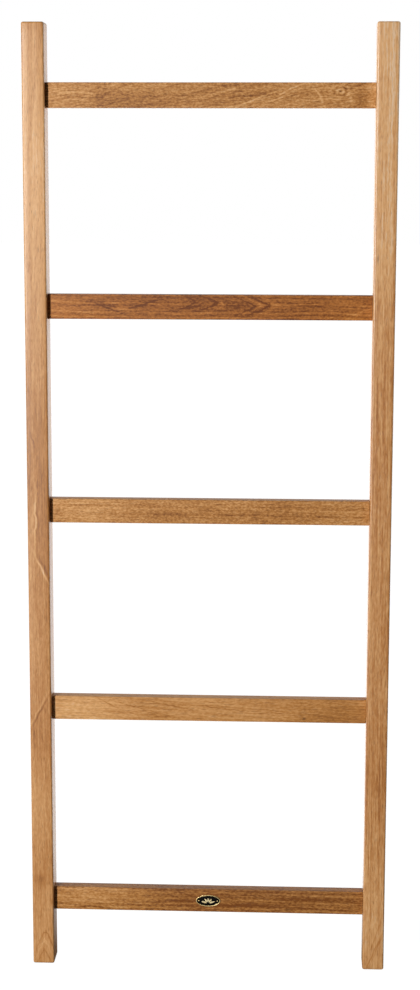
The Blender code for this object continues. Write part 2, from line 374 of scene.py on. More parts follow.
def eye(nodes, along, across, centre, spacing, reach):
    """Rings round a small pin knot: positive on the dark rings, negative on the pale ones."""
    run = nodes.math("MULTIPLY", nodes.math("SUBTRACT", along, centre[0]), EYE_FLATNESS)
    rise = nodes.math("SUBTRACT", across, centre[1])
    distance = nodes.math("SQRT", nodes.math("ADD", nodes.square(run), nodes.square(rise)))
    wobble = nodes.noise(nodes.vector(
        nodes.math("MULTIPLY", along, EYE_WOBBLE_RATE),
        nodes.math("MULTIPLY", across, EYE_WOBBLE_RATE),
        0.0,
    ))
    wobble = nodes.math("MULTIPLY", nodes.math("SUBTRACT", wobble, 0.5), EYE_WOBBLE)
    wobbly = nodes.math("ADD", distance, wobble)
    wave = nodes.math("COSINE", nodes.math("MULTIPLY", wobbly, 2 * math.pi / spacing))
    fade = nodes.fall_off(nodes.square(nodes.math("DIVIDE", distance, reach)))
    return nodes.math("MULTIPLY", wave, fade)


def stretched(nodes, along, across, depth, rates, shift):
    """A place in the wood, squeezed so that noise runs along the grain."""
    return nodes.vector(
        nodes.math("MULTIPLY", across, rates[0]),
        nodes.math("MULTIPLY", depth, rates[0]),
        nodes.math("MULTIPLY", nodes.math("ADD", along, shift), rates[1]),
    )


def growth_rings(nodes, wood, along, across, depth):
    """Distance from the tree's heart, bent by drift, knots and figure."""
    drift_rates = (DRIFT_RATE, wood["drift_rate"])
    drift = nodes.noise(stretched(nodes, along, across, depth, drift_rates, wood["seed"]))
    drift = nodes.math("MULTIPLY", nodes.math("SUBTRACT", drift, 0.5), wood["drift"])
    lean = nodes.math("MULTIPLY", along, wood["lean"][0])
    dive = nodes.math("MULTIPLY", along, wood["lean"][1])
    side = nodes.math("SUBTRACT", across, wood["pith"][0])
    side = nodes.math("ADD", side, nodes.math("ADD", lean, drift))
    deep = nodes.math("ADD", nodes.math("SUBTRACT", depth, wood["pith"][1]), dive)
    ring = nodes.math("SQRT", nodes.math("ADD", nodes.square(side), nodes.square(deep)))
    for centre, reach, push in wood["bends"]:
        bend = nodes.math("MULTIPLY", spot(nodes, along, across, centre, reach), push)
        ring = nodes.math("ADD", ring, bend)
    for centre, reach, strength in wood["figures"]:
        place = stretched(nodes, along, across, depth, FIGURE_RATES, wood["seed"])
        ripple = nodes.noise(place, detail=1.0)
        ripple = nodes.math("MULTIPLY", nodes.math("SUBTRACT", ripple, 0.5), strength)
        ripple = nodes.math("MULTIPLY", ripple, spot(nodes, along, across, centre, reach))
        ring = nodes.math("ADD", ring, ripple)
    return ring, drift


def grain_patterns(nodes, wood, along, across, depth):
    """The wood's even patterns, each between 0 and 1."""
    seed = wood["seed"]
    ring, drift = growth_rings(nodes, wood, along, across, depth)
    ring_place = nodes.math("MULTIPLY", ring, wood["ring_rate"])
    ring_place = nodes.math("ADD", ring_place, seed * RING_SHIFT)

    def pattern(side, rates, shift, detail, roughness=0.5):
        """Noise stretched along the grain."""
        return nodes.noise(stretched(nodes, along, side, depth, rates, shift), detail, roughness)

    drifted = nodes.math("ADD", across, drift)
    fleck_rates = (FLECK_RATE, wood["fleck_rate"])
    return {
        "bands": nodes.remap(nodes.line_noise(ring_place, detail=4.0), *BAND_WINDOW),
        "streaks": nodes.remap(pattern(drifted, STREAK_RATES, seed, 3.0, 0.6), *BROAD_WINDOW),
        "flecks": nodes.remap(pattern(across, fleck_rates, seed * FLECK_SHIFT, 2.0, 0.6), *FLECK_WINDOW),
        "clouds": nodes.remap(pattern(across, CLOUD_RATES, seed * CLOUD_SHIFT, 2.0), *BROAD_WINDOW),
        "fibres": pattern(across, FIBRE_RATES, seed, 2.0, 0.65),
        "pores": nodes.remap(pattern(across, PORE_RATES, seed * PORE_SHIFT, 1.0), *PORE_WINDOW),
    }


def grain_marks(nodes, wood, along, across, depth):
    """The change of tone made by the marks on a board's front, fading with depth."""
    marks = 0.0
    for centre, reach, slope, change in wood["strokes"]:
        mark = stroke(nodes, along, across, centre, reach, slope)
        marks = nodes.math("ADD", marks, nodes.math("MULTIPLY", mark, change))
    for tip, reach, slope, change in wood["vees"]:
        mark = vee(nodes, along, across, tip, reach, slope)
        marks = nodes.math("ADD", marks, nodes.math("MULTIPLY", mark, change))
    for centre, spacing, reach, strength in wood["eyes"]:
        rings = eye(nodes, along, across, centre, spacing, reach)
        marks = nodes.math("ADD", marks, nodes.math("MULTIPLY", rings, strength))
    near_front = nodes.remap(depth, MARK_DEPTHS[0], MARK_DEPTHS[1], 1.0, 0.0)
    return nodes.math("MULTIPLY", marks, near_front)


def teak(name, wood):
    """Oiled teak: growth rings cut by the board's faces, fibres, flecks, pores, knots and tone changes,
    some of which are painted sheen, light and shade.
    """
    nodes = Nodes(name)
    x, depth, z = nodes.axes()
    along, across = (x, z) if wood["run"] == "X" else (z, x)
    across = nodes.math("SUBTRACT", across, wood["centre"])
    grain = grain_patterns(nodes, wood, along, across, depth)

    tone = wood["tone"]
    for pattern, weight in (
        (grain["bands"], wood["ring_weight"]),
        (grain["streaks"], wood["streak_weight"]),
        (grain["clouds"], wood["cloud_weight"]),
        (grain["flecks"], wood["fleck_weight"]),
        (nodes.remap(grain["fibres"], *BAND_WINDOW), FIBRE_WEIGHT),
    ):
        centred = nodes.math("SUBTRACT", pattern, 0.5)
        tone = nodes.math("ADD", tone, nodes.math("MULTIPLY", centred, weight))
    tone = nodes.math("ADD", tone, grain_marks(nodes, wood, along, across, depth))

    pale, gold, deep = wood["colours"]
    # Tone below 0 turns to the palest, whitish colour: painted sheen of the light on the stiles' tops,
    # palest wood elsewhere
    colour = nodes.mix(nodes.remap(tone, PALEST_AND_PAINTED_SHEEN_FROM, 0.0), PALEST_AND_PAINTED_SHEEN, pale)
    colour = nodes.mix(nodes.remap(tone, 0.0, 0.5), colour, gold)
    colour = nodes.mix(nodes.remap(tone, 0.5, 1.0), colour, deep)
    colour = nodes.mix(nodes.math("MULTIPLY", grain["pores"], PORE_STRENGTH), colour, PORE)
    for centre, reach in wood["knots"]:
        core = spot(nodes, along, across, centre, reach)
        colour = nodes.mix(nodes.math("MULTIPLY", core, KNOT_STRENGTH), colour, PORE)

    relief = nodes.math(
        "SUBTRACT",
        nodes.math("MULTIPLY", grain["fibres"], FIBRE_RELIEF),
        nodes.math("MULTIPLY", grain["pores"], PORE_RELIEF),
    )
    relief = nodes.math("ADD", relief, nodes.math("MULTIPLY", grain["bands"], BAND_RELIEF))
    nodes.bump(relief, GRAIN_RELIEF)
    nodes.set_shader(
        Base_Color=colour,
        Roughness=nodes.remap(tone, 0.0, 1.0, ROUGH_PALE, ROUGH_DARK),
        Coat_Weight=wood["oil"],
        Coat_Roughness=OIL_ROUGHNESS,
        Specular_IOR_Level=wood["gloss"],
    )
    return nodes.material


# ---------------------------------------------------------------- timber

# Colours from pale to dark, and the palest, whitish colour, which also paints the light's sheen on the
# stiles' tops
PALE = (0.640, 0.345, 0.135)
GOLD = (0.410, 0.175, 0.042)
DEEP = (0.170, 0.052, 0.008)
GOLDEN = (PALE, GOLD, DEEP)
TAWNY = (PALE, (0.412, 0.168, 0.038), DEEP)
WARM = (PALE, (0.415, 0.161, 0.033), (0.175, 0.050, 0.007))
REDDISH = ((0.600, 0.275, 0.080), (0.395, 0.137, 0.023), (0.140, 0.036, 0.004))
PORE = (0.080, 0.026, 0.006)
# Whitish palest colour, used as painted sheen on the stiles' tops
PALEST_AND_PAINTED_SHEEN = (0.680, 0.460, 0.275)
PALEST_AND_PAINTED_SHEEN_FROM = -0.28
ROUGH_PALE = 0.52
ROUGH_DARK = 0.42
OIL_ROUGHNESS = 0.27
FIBRE_WEIGHT = 0.26
PORE_STRENGTH = 0.40
KNOT_STRENGTH = 0.75

# Relief in the grain: its depth in metres, and each pattern's share
GRAIN_RELIEF = 0.00012
FIBRE_RELIEF = 0.6
PORE_RELIEF = 0.8
BAND_RELIEF = 0.35

# The part of each noise's range that is stretched to 0..1
BAND_WINDOW = (0.32, 0.68)
BROAD_WINDOW = (0.28, 0.72)
FLECK_WINDOW = (0.34, 0.66)
PORE_WINDOW = (0.62, 0.72)

# Multipliers that keep one board's patterns apart
RING_SHIFT = 7.3
FLECK_SHIFT = 1.3
CLOUD_SHIFT = 3.1
PORE_SHIFT = 1.7

# How quickly each pattern changes across and along the grain, per metre
DRIFT_RATE = 14.0
STREAK_RATES = (360.0, 8.0)
FLECK_RATE = 430.0
FIBRE_RATES = (700.0, 30.0)
CLOUD_RATES = (22.0, 6.0)
PORE_RATES = (1150.0, 85.0)
FIGURE_RATES = (90.0, 70.0)

# Marks on the front: where they fade out, and how they wander
MARK_DEPTHS = (-0.008, 0.006)
WANDER_RATE = 45.0
WANDER_REACH = 0.006
VEE_BLUNTNESS = 0.0000070
VEE_WOBBLE_RATE = 150.0
VEE_WOBBLE = 0.006
EYE_FLATNESS = 0.62
EYE_WOBBLE_RATE = 160.0
EYE_WOBBLE = 0.004

PLUG_SEED_STEP = 5.0
PLUG_TONE = 0.62

# A piece of wood. Places and reaches are (along, across) in metres: along is x on a rung and z on
# a stile, and across is measured from the board's middle line. A positive change of tone is darker.
#   pith     where the tree's heart lies: across the board, and in depth
#   lean     how the heart runs off as the board goes along: across, and in depth
#   strokes  centre, reach, slope across the board, change of tone
#   vees     tip, reach, slope of the two arms, change of tone
#   eyes     centre, ring spacing, reach, strength
#   bends    centre, reach, how far the rings shift
#   figures  centre, reach, how far the rings ripple
#   knots    centre, reach
PLAIN_WOOD = dict(
    drift=0.012, drift_rate=2.2, lean=(0.004, 0.0), pith=(0.22, 0.10), ring_rate=260.0, tone=0.40,
    ring_weight=0.36, streak_weight=0.28, cloud_weight=0.24, fleck_weight=0.50, fleck_rate=230.0,
    vees=(), bends=(), figures=(), strokes=(), eyes=(), knots=(), colours=GOLDEN, oil=0.0, gloss=0.22,
)


def wood_for(centre, run, seed, **changes):
    """One piece's wood: plain teak with its own place, seed and features."""
    wood = dict(PLAIN_WOOD)
    wood.update(centre=centre, run=run, seed=seed)
    wood.update(changes)
    return wood


def stile_woods():
    """The two stiles: straight grained, with painted sheen of the light making them paler and whiter
    towards the top, and painted light making them a little paler at the bottom.
    """
    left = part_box("stile_left")
    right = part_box("stile_right")
    left_centre = (left[0][0] + left[1][0]) / 2
    right_centre = (right[0][0] + right[1][0]) / 2
    return {
        "left": wood_for(
            left_centre, "Z", 3.0, pith=(-0.10, 0.16), lean=(0.006, 0.012), tone=0.39, ring_weight=0.16,
            streak_weight=0.16, fleck_weight=0.18, fleck_rate=120.0, oil=0.30, gloss=0.45, colours=TAWNY,
            vees=(
                ((0.062, 0.003), (0.040, 0.0012), 0.42, 0.30),
                ((0.046, 0.002), (0.034, 0.0011), 0.42, -0.24),
                ((0.030, 0.001), (0.030, 0.0012), 0.42, 0.30),
            ),
            strokes=(
                # Broad pale stroke at the top: painted sheen of the light, whitening the stile's top
                ((1.30, 0.0), (0.23, 0.060), 0.0, -0.35),
                # Broad pale stroke at the foot: painted light, brightening the bottom of the stile
                ((0.08, 0.0), (0.20, 0.060), 0.0, -0.08),
                # Broad darker stroke at mid-height: painted shade that tones down the light's sheen there
                ((0.86, 0.0), (0.13, 0.060), 0.0, 0.09),
                ((0.44, 0.0), (0.07, 0.060), 0.0, 0.05),
                ((0.26, 0.0), (0.07, 0.060), 0.0, -0.06),
                ((1.42, 0.002), (0.070, 0.0014), 0.10, 0.18),
                ((1.36, -0.006), (0.090, 0.0012), 0.08, 0.14),
                ((1.20, 0.004), (0.110, 0.0012), 0.07, 0.14),
                ((1.06, -0.003), (0.080, 0.0012), 0.09, 0.14),
                ((0.745, -0.005), (0.055, 0.0016), 0.03, -0.62),
                ((0.745, -0.0015), (0.055, 0.0020), 0.03, 0.26),
                ((0.668, 0.0050), (0.020, 0.0016), -0.48, -0.60),
                ((0.668, 0.0100), (0.024, 0.0024), -0.48, 0.34),
                ((0.72, 0.010), (0.06, 0.0080), 0.0, 0.12),
                ((0.431, -0.001), (0.026, 0.0015), 0.52, 0.40),
                ((0.433, -0.004), (0.026, 0.0015), 0.52, -0.24),
                ((0.388, -0.012), (0.020, 0.0014), 0.0, 0.26),
                ((0.875, -0.007), (0.014, 0.0014), -0.25, 0.40),
                ((0.146, -0.004), (0.010, 0.0090), 0.0, 0.24),
                ((0.28, 0.0), (0.06, 0.040), 0.0, -0.10),
            ),
        ),
        "right": wood_for(
            right_centre, "Z", 11.0, pith=(0.35, 0.05), drift=0.006, drift_rate=1.2, tone=0.36,
            ring_weight=0.22, streak_weight=0.44, fleck_weight=0.26, fleck_rate=90.0,
            oil=0.60, gloss=0.45, colours=WARM,
            strokes=(
                # Broad pale stroke at the top: painted sheen of the light, whitening the stile's top
                ((1.45, 0.0), (0.27, 0.060), 0.0, -0.38),
                ((1.35, 0.007), (0.20, 0.0012), 0.0, -0.30),
                ((1.25, 0.002), (0.16, 0.0010), 0.002, -0.24),
                # Broad pale stroke at the foot: painted light, brightening the bottom of the stile
                ((0.06, 0.0), (0.16, 0.060), 0.0, -0.14),
                ((0.36, 0.0), (0.10, 0.060), 0.0, 0.05),
                ((0.60, 0.0), (0.12, 0.060), 0.0, -0.05),
                ((0.030, 0.001), (0.035, 0.0012), 0.40, 0.34),
                ((0.036, 0.006), (0.030, 0.0011), 0.36, 0.30),
                ((0.060, 0.004), (0.030, 0.0011), 0.30, 0.26),
            ),
            knots=(((1.165, -0.011), (0.006, 0.0008)),),
        ),
    }


def rung_woods():
    """The five rungs, each from its own board."""
    centres = {}
    for number in RUNGS:
        low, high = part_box(f"rung_{number}")
        centres[number] = (low[2] + high[2]) / 2
    return {
        1: wood_for(
            centres[1], "X", 21.0, pith=(-0.15, 0.05), lean=(-0.22, 0.03), drift=0.016, drift_rate=5.0,
            tone=0.49, ring_weight=0.25, fleck_weight=0.46,
            bends=(((0.200, 0.006), (0.016, 0.007), 0.010), ((-0.17, 0.0), (0.030, 0.014), 0.010)),
            figures=(((0.07, 0.004), (0.05, 0.008), 0.004), ((-0.165, 0.0), (0.03, 0.02), 0.012)),
            strokes=(
                ((0.163, 0.007), (0.008, 0.0022), -1.1, -0.34),
                ((0.172, -0.007), (0.005, 0.0040), -2.2, -0.34),
                ((0.122, 0.008), (0.018, 0.0011), 0.46, -0.50),
                ((0.078, -0.003), (0.036, 0.0012), 0.40, -0.52),
                ((0.107, -0.004), (0.024, 0.0011), 0.42, -0.36),
                ((0.020, 0.006), (0.030, 0.0018), 0.30, -0.22),
                ((0.215, -0.002), (0.004, 0.0060), -1.4, -0.30),
                ((0.196, -0.006), (0.012, 0.0010), 0.0, -0.40),
                ((0.060, -0.001), (0.040, 0.0012), 0.05, 0.40),
                ((-0.095, -0.002), (0.024, 0.0012), 0.02, 0.42),
                # Broad pale stroke at the left end: painted sheen of the light from the left
                ((-0.235, 0.0), (0.045, 0.030), 0.0, -0.16),
                ((0.150, 0.0), (0.060, 0.040), 0.0, -0.10),
                ((-0.168, 0.0), (0.010, 0.016), 0.4, 0.26),
                ((-0.140, -0.004), (0.018, 0.008), 0.3, 0.20),
                ((0.232, 0.0), (0.008, 0.030), 0.0, 0.20),
                ((0.252, 0.0), (0.010, 0.030), 0.0, -0.16),
            ),
            eyes=(((0.200, 0.006), 0.0062, 0.0085, 0.40),),
            knots=(((0.200, 0.006), (0.0020, 0.0012)),),
        ),
        2: wood_for(
            centres[2], "X", 32.0, pith=(0.30, 0.06), drift=0.012, drift_rate=6.0,
            ring_rate=280.0, tone=0.72, ring_weight=0.34, streak_weight=0.20, fleck_weight=0.36,
            colours=REDDISH,
            vees=(
                ((-0.016, 0.008), (0.030, 0.0011), 0.40, 0.50),
                ((0.018, 0.007), (0.040, 0.0012), 0.36, 0.46),
                ((0.030, 0.004), (0.040, 0.0010), 0.36, -0.26),
                ((0.076, 0.002), (0.045, 0.0012), 0.42, 0.46),
                ((0.087, 0.003), (0.040, 0.0010), 0.42, -0.26),
                ((0.099, 0.003), (0.050, 0.0013), 0.40, 0.54),
                ((0.112, 0.003), (0.040, 0.0010), 0.40, -0.16),
            ),
            figures=(((-0.12, 0.0), (0.06, 0.03), 0.008),),
            strokes=(
                # Broad pale stroke at the left end: painted sheen of the light from the left
                ((-0.235, -0.002), (0.05, 0.020), 0.0, -0.20),
                ((0.22, 0.0), (0.05, 0.040), 0.0, -0.06),
                ((-0.175, 0.006), (0.022, 0.0030), -0.15, 0.30),
                ((-0.135, -0.004), (0.016, 0.0014), 0.0, -0.45),
                ((-0.105, 0.004), (0.024, 0.0016), 0.30, 0.56),
                ((-0.160, -0.002), (0.018, 0.0013), -0.35, 0.44),
                ((-0.205, 0.002), (0.030, 0.0010), 0.0, 0.30),
                ((0.155, 0.004), (0.050, 0.0010), 0.0, 0.26),
                ((0.236, -0.006), (0.014, 0.0012), 0.50, -0.24),
                ((0.246, -0.004), (0.014, 0.0012), 0.50, -0.24),
                ((-0.030, 0.000), (0.030, 0.0018), 0.18, 0.34),
                ((0.045, 0.004), (0.020, 0.0060), 0.0, 0.22),
                ((0.20, 0.0), (0.06, 0.030), 0.0, -0.12),
            ),
        ),
        3: wood_for(
            centres[3], "X", 43.0, pith=(0.30, 0.08), drift=0.006, drift_rate=2.0, tone=0.50,
            ring_weight=0.14, streak_weight=0.17, fleck_weight=0.47,
            strokes=(
                # Broad pale stroke at the left end: painted sheen of the light from the left
                ((-0.20, 0.0), (0.08, 0.040), 0.0, -0.16),
                ((0.16, 0.0), (0.10, 0.040), 0.0, -0.08),
                ((-0.19, 0.010), (0.030, 0.0012), -0.03, 0.40),
                ((-0.06, -0.004), (0.03, 0.005), 0.0, 0.20),
                ((0.05, -0.004), (0.05, 0.0012), 0.0, 0.28),
                ((-0.10, 0.011), (0.020, 0.0010), 0.0, 0.36),
                ((0.00, 0.003), (0.018, 0.0030), 0.0, 0.22),
                ((0.12, 0.009), (0.04, 0.0012), 0.02, 0.24),
                ((0.19, -0.006), (0.05, 0.0012), 0.0, 0.22),
            ),
        ),
        4: wood_for(
            centres[4], "X", 54.0, pith=(-0.10, 0.06), lean=(0.10, 0.02), drift=0.020, drift_rate=5.0,
            tone=0.34, ring_weight=0.20, streak_weight=0.12, fleck_weight=0.27, fleck_rate=170.0,
            strokes=(
                # Broad pale stroke at the left end and darker one at the right end: painted sheen of the
                # light from the left
                ((-0.21, 0.0), (0.10, 0.040), 0.0, -0.20),
                ((0.21, 0.0), (0.08, 0.04), 0.0, 0.28),
                ((0.03, 0.0), (0.07, 0.04), 0.0, -0.07),
                ((-0.165, 0.009), (0.016, 0.0011), -0.50, 0.40),
                ((-0.12, 0.003), (0.035, 0.0010), -0.26, 0.34),
                ((-0.06, 0.006), (0.040, 0.0010), -0.20, 0.30),
                ((0.02, 0.003), (0.050, 0.0010), -0.10, 0.30),
                ((-0.08, -0.012), (0.030, 0.0018), -0.06, 0.30),
            ),
            knots=(((0.155, -0.013), (0.0030, 0.0016)),),
        ),
        5: wood_for(
            centres[5], "X", 65.0, pith=(0.20, 0.05), lean=(0.01, 0.0), drift=0.012, drift_rate=4.0,
            tone=0.75, ring_weight=0.30, streak_weight=0.28, fleck_weight=0.42, fleck_rate=190.0,
            strokes=(
                # Broad pale stroke at the left end: painted sheen of the light from the left
                ((-0.20, 0.0), (0.10, 0.040), 0.0, -0.30),
                ((0.07, 0.0), (0.07, 0.040), 0.0, 0.10),
                ((-0.20, -0.013), (0.03, 0.0018), -0.06, 0.50),
                ((-0.04, -0.001), (0.04, 0.0022), 0.0, 0.34),
                ((0.06, -0.007), (0.09, 0.0022), 0.0, 0.30),
                ((0.16, 0.003), (0.06, 0.0030), 0.02, 0.26),
            ),
            knots=(((0.132, -0.013), (0.0040, 0.0016)),),
        ),
    }


def add_bores(mesh_code, side, outer_x, centre_z):
    """One stepped bore: a mouth for the plug and screw head, then the screw hole."""
    mouth_end = outer_x - side * BORE_MOUTH_DEPTH
    far_end = outer_x - side * BORE_DEPTH
    sections = []
    for x, radius in (
        (outer_x + side * CUTTER_OVERSHOOT, BORE_MOUTH_RADIUS),
        (mouth_end, BORE_MOUTH_RADIUS),
        (mouth_end, BORE_RADIUS),
        (far_end, BORE_RADIUS),
    ):
        sections.append([Vector((x, p.x, centre_z + p.y)) for p in circle(radius, BORE_SIDES)])
    add_loft(mesh_code, sections)


def make_stile(word, side, material):
    """A square stile with eased, slightly wavering arrises and its joinery cut in."""
    low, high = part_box(f"stile_{word}")
    width = high[0] - low[0]
    depth = high[1] - low[1]
    centre_x = (low[0] + high[0]) / 2
    outer_x = high[0] if side > 0 else low[0]
    inner_x = low[0] if side > 0 else high[0]
    heights = []
    for step in range(ARC_STEPS + 1):
        angle = math.radians(90 * step / ARC_STEPS)
        heights.append((low[2] + STILE_EASE * (1 - math.sin(angle)), STILE_EASE * (1 - math.cos(angle))))
    bottom = sorted(heights)
    top = [(high[2] - (z - low[2]), inset) for z, inset in reversed(bottom)]
    middle = [(z, 0.0) for z in stations_between(low[2] + STILE_EASE, high[2] - STILE_EASE)[1:-1]]
    sections = []
    for z, inset in bottom + middle + top:
        radius = STILE_EASE + HAND_WAVER * waver(z, side * STILE_ARRIS_SEED) - inset * END_SHARPENING
        shape = rounded_rectangle(width - 2 * inset, depth - 2 * inset, radius)
        section = []
        for index, point in enumerate(shape):
            sway = FACE_WAVER * (waver(z, side * STILE_FACE_SEED + index) - 1.0)
            outward = point.normalized() * sway
            section.append(Vector((centre_x + point.x + outward.x, point.y + outward.y, z)))
        sections.append(section)
    mesh_code = bmesh.new()
    add_loft(mesh_code, sections)
    stile = mesh_piece(f"shaped_stile_{word}", mesh_code, material, (f"stile_{word}",))
    pockets = bmesh.new()
    for number in RUNGS:
        rung_low, rung_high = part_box(f"rung_{number}")
        centre_z = (rung_low[2] + rung_high[2]) / 2
        outline = rounded_rectangle(
            TENON_THICKNESS + 2 * JOINT_GAP, TENON_HEIGHT + 2 * JOINT_GAP, TENON_EASE + JOINT_GAP)
        ends = (inner_x - side * CUTTER_OVERSHOOT, inner_x + side * TENON_LENGTH)
        add_loft(pockets, [[Vector((x, p.x, centre_z + p.y)) for p in outline] for x in ends])
    carve(stile, pockets)
    bores = bmesh.new()
    for number in RUNGS:
        rung_low, rung_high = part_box(f"rung_{number}")
        add_bores(bores, side, outer_x, (rung_low[2] + rung_high[2]) / 2)
    carve(stile, bores)


def pin_holes():
    """The two holes that the plate's pins go through, as deep as the pins are long."""
    mesh_code = bmesh.new()
    for word, _ in SIDES:
        low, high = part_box(f"badge_pin_{word}")
        pin_x = (low[0] + high[0]) / 2
        pin_z = (low[2] + high[2]) / 2
        hole = circle(PIN_HOLE_RADIUS, PIN_SIDES)
        ends = (low[1] - CUTTER_OVERSHOOT, high[1] + JOINT_GAP)
        add_loft(mesh_code, [[Vector((pin_x + p.x, y, pin_z + p.y)) for p in hole] for y in ends])
    return mesh_code


def make_rung(number, material):
    """A flat slat with soft edges, a shouldered tenon and a pilot hole at each end."""
    low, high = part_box(f"rung_{number}")
    centre_z = (low[2] + high[2]) / 2
    thickness = high[1] - low[1]
    height = high[2] - low[2]
    end_x = high[0]
    shoulder_x = end_x - TENON_LENGTH
    shapes = {
        "tip": (TENON_THICKNESS - 2 * LEAD_IN, TENON_HEIGHT - 2 * LEAD_IN, TENON_EASE),
        "tenon": (TENON_THICKNESS, TENON_HEIGHT, TENON_EASE),
    }

    def section_at(x, shape, wavering):
        """One section across the rung."""
        width, tall, radius = shape
        section = []
        for index, point in enumerate(rounded_rectangle(width, tall, radius)):
            sway = 0.0
            if wavering:
                sway = FACE_WAVER * (waver(x, number * RUNG_FACE_SEED + index) - 1.0)
            outward = point.normalized() * sway
            section.append(Vector((x, point.x + outward.x, centre_z + point.y + outward.y)))
        return section

    half = [(end_x, "tip"), (end_x - LEAD_IN, "tenon"), (shoulder_x, "tenon")]
    sections = [section_at(-x, shapes[shape], False) for x, shape in half]
    for x in stations_between(-shoulder_x, shoulder_x):
        radius = RUNG_EASE + HAND_WAVER * waver(x, number * RUNG_ARRIS_SEED)
        sections.append(section_at(x, (thickness, height, radius), True))
    sections += [section_at(x, shapes[shape], False) for x, shape in reversed(half)]
    mesh_code = bmesh.new()
    add_loft(mesh_code, sections)
    rung = mesh_piece(f"shaped_rung_{number}", mesh_code, material, (f"rung_{number}",))
    holes = bmesh.new()
    for word, side in SIDES:
        stile_low, stile_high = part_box(f"stile_{word}")
        add_bores(holes, side, stile_high[0] if side > 0 else stile_low[0], centre_z)
    carve(rung, holes)
    if number == PLATED_RUNG:
        carve(rung, pin_holes())


def make_plug(word, side, number, material):
    """A face-grain teak plug, chamfered and very slightly domed."""
    low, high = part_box(f"plug_{word}_{number}")
    centre_z = (low[2] + high[2]) / 2
    outer_x = high[0] if side > 0 else low[0]
    inner_x = low[0] if side > 0 else high[0]
    profile = [
        (inner_x, PLUG_RADIUS - PLUG_CHAMFER),
        (inner_x + side * PLUG_CHAMFER, PLUG_RADIUS),
        (outer_x - side * PLUG_CHAMFER, PLUG_RADIUS),
    ]
    for step in range(1, DOME_STEPS):
        reach = 1 - step / DOME_STEPS
        profile.append((outer_x - side * PLUG_DOME_HEIGHT * reach * reach, PLUG_DOME_RADIUS * reach))
    sections = []
    for x, radius in profile:
        sections.append([Vector((x, p.x, centre_z + p.y)) for p in circle(radius, BORE_SIDES)])
    mesh_code = bmesh.new()
    add_loft(mesh_code, sections)
    mesh_piece(f"shaped_plug_{word}_{number}", mesh_code, material, (f"plug_{word}_{number}",))


# ---------------------------------------------------------------- maker's plate and screws

BRASS_LIGHT = (0.80, 0.62, 0.30)
BRASS_DARK = (0.52, 0.37, 0.14)
BRASS_ROUGHNESS = 0.36
MOTIF_LIGHT = (1.00, 0.86, 0.50)
MOTIF_DARK = (0.80, 0.62, 0.30)
MOTIF_ROUGHNESS = 0.44
BRASS_METALLIC = 0.72
TARNISH_ROUGHENING = 0.15
ENAMEL_DARK = (0.002, 0.002, 0.002)
ENAMEL_LIGHT = (0.005, 0.004, 0.003)
ENAMEL_ROUGHNESS = (0.22, 0.34)
ENAMEL_GLOSS = 0.15
STEEL_DARK = (0.50, 0.50, 0.48)
STEEL_LIGHT = (0.66, 0.66, 0.64)
STEEL_ROUGHNESS = (0.24, 0.38)
METAL_RELIEF = 0.00001
PEEL_RELIEF = 0.00002

# How quickly each pattern changes along x, y and z, per metre
TARNISH_RATES = (300.0, 300.0, 300.0)
POLISH_RATES = (600.0, 600.0, 9000.0)
PEEL_RATES = (900.0, 900.0, 900.0)
BRUSH_RATES = (4000.0, 300.0, 300.0)


def brass_material(name, roughness, light, dark):
    """Warm brass with fine polishing marks and faint tarnish."""
    nodes = Nodes(name)
    axes = nodes.axes()
    tarnish = nodes.noise(nodes.scaled(axes, TARNISH_RATES), detail=3.0)
    scratches = nodes.noise(nodes.scaled(axes, POLISH_RATES), detail=1.0)
    nodes.set_shader(
        Base_Color=nodes.mix(nodes.remap(tarnish, 0.35, 0.7), light, dark),
        Metallic=BRASS_METALLIC,
        Roughness=nodes.remap(tarnish, 0.3, 0.7, roughness, roughness + TARNISH_ROUGHENING),
    )
    nodes.bump(scratches, METAL_RELIEF)
    return nodes.material


def enamel_material():
    """Black enamel with a faint orange peel."""
    nodes = Nodes("enamel")
    peel = nodes.noise(nodes.scaled(nodes.axes(), PEEL_RATES), detail=2.0)
    nodes.set_shader(
        Base_Color=nodes.mix(peel, ENAMEL_DARK, ENAMEL_LIGHT),
        Roughness=nodes.remap(peel, 0.3, 0.7, *ENAMEL_ROUGHNESS),
        Specular_IOR_Level=ENAMEL_GLOSS,
    )
    nodes.bump(peel, PEEL_RELIEF)
    return nodes.material


def steel_material():
    """Brushed stainless steel for the hidden screws."""
    nodes = Nodes("screw_steel")
    brush = nodes.noise(nodes.scaled(nodes.axes(), BRUSH_RATES), detail=2.0)
    nodes.set_shader(
        Base_Color=nodes.mix(brush, STEEL_DARK, STEEL_LIGHT),
        Metallic=1.0,
        Roughness=nodes.remap(brush, 0.3, 0.7, *STEEL_ROUGHNESS),
    )
    nodes.bump(brush, METAL_RELIEF)
    return nodes.material


def oval_loft(centre, profile, count):
    """Sections of an upright oval, from (y, half length, half height) steps."""
    sections = []
    for y, half_length, half_height in profile:
        oval = ellipse(half_length, half_height, count)
        sections.append([Vector((centre[0] + p.x, y, centre[1] + p.y)) for p in oval])
    mesh_code = bmesh.new()
    add_loft(mesh_code, sections)
    return mesh_code


